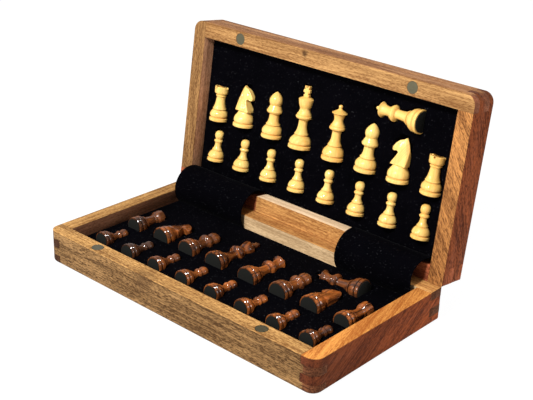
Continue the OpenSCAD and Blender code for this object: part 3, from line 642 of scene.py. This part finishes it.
def carve_horse():
    """The head and neck: a slab cut to the side view, remeshed finely and carved in relief."""
    form = bmesh.new()
    outline = [form.verts.new((x * mm, -half_slab * mm, z * mm)) for x, z in horse_side]
    face = form.faces.new(outline)
    slab = bmesh.ops.extrude_face_region(form, geom=[face])["geom"]
    far = [v for v in slab if isinstance(v, bmesh.types.BMVert)]
    bmesh.ops.translate(form, verts=far, vec=(0, 2 * half_slab * mm, 0))
    bmesh.ops.recalc_face_normals(form, faces=form.faces)
    rims = [e for e in form.edges if abs(e.verts[0].co.y - e.verts[1].co.y) < 1 * mm]
    bmesh.ops.bevel(form, geom=rims, offset=0.6 * mm, affect="EDGES", segments=2, profile=0.5,
                    material=-1, clamp_overlap=True)
    bmesh.ops.triangulate(form, faces=form.faces)
    rough = bpy.data.objects.new("rough_horse", bpy.data.meshes.new("rough_horse"))
    form.to_mesh(rough.data)
    form.free()
    scene.collection.objects.link(rough)
    remesh = rough.modifiers.new("remesh", "REMESH")
    remesh.mode = "VOXEL"
    remesh.voxel_size = 0.4 * mm
    depsgraph = bpy.context.evaluated_depsgraph_get()
    remeshed = bpy.data.meshes.new_from_object(rough.evaluated_get(depsgraph))
    bpy.data.objects.remove(rough)
    form = bmesh.new()
    form.from_mesh(remeshed)
    bmesh.ops.smooth_vert(form, verts=form.verts, factor=0.5, use_axis_x=True, use_axis_y=True,
                          use_axis_z=True)
    for vert in form.verts:
        x, y, z = vert.co / mm
        vert.co.y = y / half_slab * half_thickness(x, z) * mm
    return form


# The height of a slice, and how far in a groove is that counts in full.
slice_t, full_groove = 0.5 * mm, 0.9 * mm


def mark_grooves(form):
    """Keeps how deep in a turned groove each point is, from 0 to 1.

    A point's own radius is compared with the widest in the slices just above and below."""
    # The groove depth is used to paint shade into the grooves.
    groove = form.verts.layers.float.new("groove")
    widest = {}
    for vert in form.verts:
        level = round(vert.co.z / slice_t)
        widest[level] = max(widest.get(level, 0), hypot(vert.co.x, vert.co.y))
    for vert in form.verts:
        level = round(vert.co.z / slice_t)
        above, below = (max(widest.get(level + way * k, 0) for k in range(4)) for way in (1, -1))
        reach, own = min(above, below), hypot(vert.co.x, vert.co.y)
        vert[groove] = min(1, max(0, (reach - own) / full_groove)) if own > 0.8 * reach else 0


def make_piece_mesh(kind):
    """A standing chess piece of one kind, with its foot at the origin."""
    form = lathe(outlines[kind])
    mark_grooves(form)
    if kind == "rook":
        add_battlements(form)
    if kind == "king":
        add_block(form, (-1.9, -1.8, 46.3), (1.9, 1.8, 57), 0.4)
        add_block(form, (-2.8, -1.9, 46.3), (2.8, 1.9, 49.4), 0.5)
        add_block(form, (-3.5, -1.9, 50.8), (3.5, 1.9, 53.9), 0.5)
        add_block(form, (-2.6, -1.8, 54.9), (2.6, 1.8, 57), 0.4)
    if kind == "knight":
        head = carve_horse()
        spare = bpy.data.meshes.new("horse")
        head.to_mesh(spare)
        head.free()
        form.from_mesh(spare)
        # The carved mane, eye, nostril and mouth take the same painted shade as the grooves.
        groove = form.verts.layers.float["groove"]
        for vert in form.verts:
            if vert.co.z > 15.4 * mm:
                vert[groove] = min(1, carved_depth(vert.co.x / mm, vert.co.z / mm) / 0.45)
    standing = bpy.data.meshes.new(kind)
    form.to_mesh(standing)
    form.free()
    return standing


# A side's pieces lie in an insert of their own. Its frame starts in the middle of the near
# edge of the velvet: x to the right, y away from the near wall, z out of the tray.
# A lying piece's axis leaves its foot a little above the velvet, and dips towards its head.
half_insert, velvet_level = 65, 18.3
velvet_drop, hinge_gap = 11.8, 14.1
base_tray = Matrix.Translation((0, -half_insert * mm, velvet_level * mm))
lid_tray = (Matrix.Translation(hinge_axis) @ lid_turn
            @ Matrix.Translation((0, hinge_gap * mm, -velvet_drop * mm)))
insert_frame = {"dark": base_tray, "light": lid_tray}
half_of = {"dark": "base", "light": "lid"}
foot_height = 1.2
dip = radians(1.5)
pawn_dip = radians(4)
row_places = {"rook_left": -120, "knight_left": -87, "bishop_left": -52.8, "king": -19, "queen": 19,
              "bishop_right": 53.8, "knight_right": 87.2, "rook_right": 120.6}
tray_inside, pawn_foot, end_gap = 277, 16.2, 12.1
pawn_step = (tray_inside - pawn_foot - 2 * end_gap) / 7
# How each piece lies in its own loose pocket: mm to the right, mm away from the near wall,
# degrees that its head leans to the right, and degrees that it dips further.
settled = {
    "light_rook_left": (0, -0.7, 0, 0), "light_knight_left": (-1.2, 1.8, 0, 0),
    "light_bishop_left": (0, 0.7, 0, 0), "light_queen": (-0.4, -0.2, 0.5, 0),
    "light_bishop_right": (0, -0.4, 2.8, 0), "light_knight_right": (0.6, 0.2, 0, 0),
    "light_rook_right": (0, -0.6, 2.0, 0), "light_pawn_1": (0, 0, 1.2, 0),
    "light_spare_queen": (0, 0, 0, 3.5),
    "light_pawn_2": (-0.6, 0.2, 2.2, 0), "light_pawn_3": (0, 0, -1, 0),
    "light_pawn_4": (0, 0, -1.4, 0), "light_pawn_6": (0, -0.6, 0, 0),
    "dark_knight_left": (1.0, 1.4, 0, 0), "dark_knight_right": (-0.6, 1.0, 0, 0),
    "dark_spare_queen": (-0.6, 0, 0, 3.0)}


def resting_places(side):
    """Every piece of a side: name, kind, foot's place and lean in its insert, dip, mirrored."""
    back_row, pawn_row = (55.4, 16.0) if side == "dark" else (53.6, 13.6)
    places = [(name, (x, back_row), 0, dip, x > 0) for name, x in row_places.items()]
    places += [(f"pawn_{i + 1}", ((i - 3.5) * pawn_step, pawn_row), 0, pawn_dip, False)
               for i in range(8)]
    places.append(("spare_queen", (103.0, 109.2), -quarter, dip, False))
    found = []
    for name, (x, y), lean, sunk, mirrored in places:
        kind = "queen" if name == "spare_queen" else name.split("_")[0]
        right, away, more, deeper_by = settled.get(f"{side}_{name}", (0, 0, 0, 0))
        found.append((name, kind, (x + right, y + away), lean + radians(more),
                      sunk + radians(deeper_by), mirrored))
    return found


def lacquered(name, tones, groove_shade, deep_tone, bands, coat):
    """Turned wood under a hard lacquer, with the grain along the piece, a depth of its own, and painted
    shade in its grooves.
    """
    material, tree, _ = new_material(name)
    place = add_node(tree, "ShaderNodeAttribute", attribute_name="on_lathe").outputs["Vector"]
    groove, deep = (add_node(tree, "ShaderNodeAttribute", attribute_name=layer).outputs["Fac"]
                    for layer in ("groove", "deep"))
    # The grooves get a darker tone: painted shade.
    tones = [mixed(tree, groove, mixed(tree, deep, tone, deep_tone), groove_shade)
             for tone in tones]
    finish_wood(tree, place, tones, (bands, 0.3, 0.2, 0.003), 0.12, coat, 0.08)
    return material


def make_felt():
    """Matt felt with fine fibres."""
    material, tree, shader = new_material("foot_felt")
    fibres = soft_noise(tree, object_vector(tree), 2600.0, 5.0, 0.7)
    tone = mixed(tree, fibres, (0.004, 0.004, 0.0035, 1), (0.013, 0.0135, 0.0115, 1))
    tree.links.new(tone, shader.inputs["Base Color"])
    add_relief(tree, fibres, 0.8, 0.15)
    shader.inputs["Roughness"].default_value = 0.95
    shader.inputs["Specular IOR Level"].default_value = 0.1
    return material


# After each side's two tones come its painted groove shade and its deeper tone.
piece_woods = {
    "dark": lacquered("stained_boxwood", ((0.42, 0.116, 0.022, 1), (0.042, 0.011, 0.004, 1)),
                      (0.014, 0.006, 0.003, 1), (0.035, 0.018, 0.012, 1), 0.9, 0.6),
    "light": lacquered("pale_boxwood", ((0.90, 0.63, 0.195, 1), (0.80, 0.44, 0.10, 1)),
                       (0.76, 0.40, 0.105, 1), (0.80, 0.36, 0.060, 1), 0.6, 0.8),
}
# How far the wood of a piece goes towards its side's deeper tone.
deeper = {"light_queen": 0.35, "light_rook_right": 0.3, "light_spare_queen": 0.2,
          "light_bishop_left": 0.1, "light_pawn_6": 0.1, "light_pawn_8": 0.2,
          "dark_rook_left": 0.55, "dark_knight_left": 0.25, "dark_bishop_left": 0.4,
          "dark_bishop_right": 0.3, "dark_spare_queen": 0.4, "dark_pawn_1": 0.45,
          "dark_pawn_2": 0.85, "dark_pawn_3": 0.3, "dark_pawn_4": 0.2, "dark_pawn_8": 0.2}
foot_felt = make_felt()
felt_t = 0.8
piece_meshes = {kind: make_piece_mesh(kind) for kind in outlines}
for side, frame_of_insert in insert_frame.items():
    for number, (name, kind, (x, y), lean, sunk, mirrored) in enumerate(resting_places(side)):
        place = (frame_of_insert @ Matrix.Translation((x * mm, y * mm, foot_height * mm))
                 @ Matrix.Rotation(-lean, 4, "Z") @ Matrix.Rotation(-quarter - sunk, 4, "X"))
        if mirrored:
            place = place @ Matrix.Diagonal((-1, 1, 1, 1))
        node = f"{side}_{name}"
        body = node + "_piece"
        form = bmesh.new()
        form.from_mesh(piece_meshes[kind])
        on_lathe = form.verts.layers.float_vector.new("on_lathe")
        deep = form.verts.layers.float.new("deep")
        for vert in form.verts:
            # Each piece is cut from another place in the wood.
            vert[on_lathe] = (vert.co.z + 0.07 * number, vert.co.x + 0.013 * number, vert.co.y)
            vert[deep] = deeper.get(node, 0.0)
        bmesh.ops.transform(form, matrix=place, verts=form.verts)
        bmesh.ops.recalc_face_normals(form, faces=form.faces)
        new_object(node + "_turned", mesh_from(form, node), piece_woods[side], body, [node])
        form = bmesh.new()
        foot = outlines[kind][1][0]
        bmesh.ops.create_cone(form, cap_ends=True, segments=facets, radius1=(foot - 1.3) * mm,
                              radius2=(foot - 1.2) * mm, depth=felt_t * mm,
                              matrix=Matrix.Translation((0, 0, felt_t / 2 * mm)))
        brim = [e for e in form.edges if e.calc_face_angle(0) > radians(60)]
        bmesh.ops.bevel(form, geom=brim, offset=0.2 * mm, affect="EDGES", segments=2, profile=0.5,
                        material=-1)
        bmesh.ops.transform(form, matrix=place, verts=form.verts)
        bmesh.ops.recalc_face_normals(form, faces=form.faces)
        new_object(node + "_felt", mesh_from(form, node + "_felt"), foot_felt, body, [node])


# ---- Velvet inserts ------------------------------------------------------------------
# A block of firm foam in each tray, covered with black velvet, and pressed into a fitted
# hollow under each piece. The pile is short, and catches a little light and lint.
def make_velvet():
    """Black pile with a cloudy nap, and specks of pale lint."""
    material, tree, shader = new_material("black_velvet")
    place = object_vector(tree)
    cloudy = soft_noise(tree, place, 45.0, 4.0)
    pile = soft_noise(tree, place, 2400.0, 4.0, 0.7)
    lint = ramp(tree, soft_noise(tree, place, 800.0, 1.0), 0.69, 0.78, 0.0, 0.25)
    nap = mixed(tree, maths(tree, "MULTIPLY", cloudy, pile), (0.0002, 0.0002, 0.0005, 1),
                (0.0030, 0.0026, 0.0044, 1))
    tree.links.new(mixed(tree, lint, nap, (0.10, 0.10, 0.11, 1)), shader.inputs["Base Color"])
    add_relief(tree, pile, 0.6, 0.12)
    shader.inputs["Roughness"].default_value = 0.9
    shader.inputs["Specular IOR Level"].default_value = 0.01
    shader.inputs["Sheen Weight"].default_value = 0.009
    shader.inputs["Sheen Roughness"].default_value = 0.3
    return material


velvet = make_velvet()
# In mm: an insert's width, depth and thickness, the spacing of its grid, the rounding of its
# edge, and the rise and length of its ripples. A pocket is kept as a radius at each slice of
# the piece, a little wider than the wood, and starts early for what is near along the piece.
insert_w, insert_d, insert_t = 276.4, 129.4, 13.4
cell, edge_round, ripple_rise, ripple_length = 0.8, 1.6, 0.10, 14
slice_gap, pocket_gap, early = 0.5, 0.45, 1.7
horse_start, horse_reach = 15, 5.6


def make_envelope(kind):
    """The pocket's radius at each slice along a lying piece: wide enough for what is near."""
    carved = {"king": [(3.7, 47.1), (3.7, 57.0)],
              "knight": [(8.3, 15.3), (8.3, 28), (8.6, 34), (4, 39)]}
    outline = outlines[kind] + carved.get(kind, [])
    top = max(z for _, z in outline)
    reach = []
    for k in range(int(ceil(top / slice_gap)) + 3):
        at = k * slice_gap
        near = [r for r, z in outline if abs(z - at) < early]
        for (r0, z0), (r1, z1) in zip(outline, outline[1:]):
            if z0 <= at <= z1:
                near.append(r0 + (r1 - r0) * (at - z0) / max(z1 - z0, 0.01))
        reach.append(max(near) + pocket_gap if near else 0)
    return reach


envelopes = {kind: make_envelope(kind) for kind in outlines}


def pocket_depth(x, y, kind, foot, lean, sunk):
    """How deep a lying piece presses the velvet at a point of the insert, in mm."""
    right, away = x - foot[0], y - foot[1]
    along = right * sin(lean) + away * cos(lean)
    across = right * cos(lean) - away * sin(lean)
    reach = envelopes[kind]
    if not -slice_gap < along < (len(reach) - 1) * slice_gap:
        return 0
    at = max(0.0, along / slice_gap)
    radius = reach[int(at)] * (1 - at % 1) + reach[min(int(at) + 1, len(reach) - 1)] * (at % 1)
    if abs(across) >= radius:
        return 0
    height = foot_height - along * sin(sunk)
    deep = horse_reach if kind == "knight" and along > horse_start else radius
    return max(0, deep * sqrt(1 - (across / radius) ** 2) - height)


for side, frame_of_insert in insert_frame.items():
    node = half_of[side] + "_velvet_insert"
    pockets = resting_places(side)
    form = bmesh.new()
    bmesh.ops.create_grid(form, x_segments=round(insert_w / cell),
                          y_segments=round(insert_d / cell), size=0.5)
    for vert in form.verts:
        x, y = vert.co.x * insert_w, half_insert + vert.co.y * insert_d
        depth = 0.0
        for _, kind, foot, lean, sunk, _ in pockets:
            if abs(x - foot[0]) < 60 and abs(y - foot[1]) < 60:
                depth = max(depth, pocket_depth(x, y, kind, foot, lean, sunk))
        margin = min(insert_w / 2 - abs(x), insert_d / 2 - abs(y - half_insert))
        if margin < edge_round:
            depth += edge_round - sqrt(max(0, edge_round ** 2 - (edge_round - margin) ** 2))
        ripple = ripple_rise * noise.noise((x / ripple_length, y / ripple_length, 3.0))
        vert.co = (x * mm, y * mm, (ripple - 0.12 - depth) * mm)
    border = [e for e in form.edges if e.is_boundary]
    skirt = bmesh.ops.extrude_edge_only(form, edges=border)["geom"]
    low = [v for v in skirt if isinstance(v, bmesh.types.BMVert)]
    for vert in low:
        vert.co.z = -insert_t * mm
    bmesh.ops.contextual_create(form, geom=[e for e in form.edges if e.is_boundary])
    bmesh.ops.transform(form, matrix=frame_of_insert, verts=form.verts)
    bmesh.ops.recalc_face_normals(form, faces=form.faces)
    insert = new_object(node + "_foam", mesh_from(form, node, 60), velvet,
                        tray_body[half_of[side]], [node])

# ---- Velvet flaps --------------------------------------------------------------------
# Two strips of the same velvet, glued to the edge of each insert, arch loosely over the
# hinges and hide them. They unroll as the lid is opened and fold up as it shuts.
# Each is an arc about the hinge from seat to seat. The cloth swells unevenly between its
# glued edges, and the right one's free end is wavy.
flap_r, flap_t, slack, swell_rise = 19.45, 1.2, 0.25, 0.55
seat_angle = asin((velvet_drop + 0.2) / (flap_r + flap_t / 2))
flap_start = radians(180) + seat_angle
flap_end = lid_lean - seat_angle
for side, x0, x1 in (("left", -138.1, -52.0), ("right", 57.2, 135.2)):
    name = "hinge_flap_" + side
    form = bmesh.new()
    bmesh.ops.create_grid(form, x_segments=52, y_segments=60, size=0.5)
    for vert in form.verts:
        u, v = vert.co.x + 0.5, vert.co.y + 0.5
        wavy = (0.9 * sin(9 * v + 0.5) + 8 * max(0, v - 0.72)) if side == "right" else 0
        x = x0 + (x1 + wavy - x0) * u
        angle = flap_start + (flap_end - flap_start) * v
        loose = sin(pi * v)
        swell = loose * (0.5 * sin(2.2 * pi * u + 0.6) + 0.5 * noise.noise((x / 16, 5 * v, 1.0)))
        swell += 0.9 * loose * loose * (0.5 + 0.5 * cos(2 * pi * (v - 0.42)))
        r = flap_r + slack + swell_rise * swell
        vert.co = hinge_axis + Vector((x * mm, r * cos(angle) * mm, r * sin(angle) * mm))
    bmesh.ops.recalc_face_normals(form, faces=form.faces)
    bmesh.ops.solidify(form, geom=list(form.faces), thickness=flap_t * 0.5 * mm)
    bmesh.ops.recalc_face_normals(form, faces=form.faces)
    flap = new_object(name, mesh_from(form, name, 60), velvet, None, ["hinge_flaps"])
    ends = [hinge_axis + Vector((0, flap_r * cos(a) * mm, flap_r * sin(a) * mm))
            for a in (flap_start, flap_end)]
    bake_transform(flap, "lower_half", "lid", start=ends[0], end=ends[1])
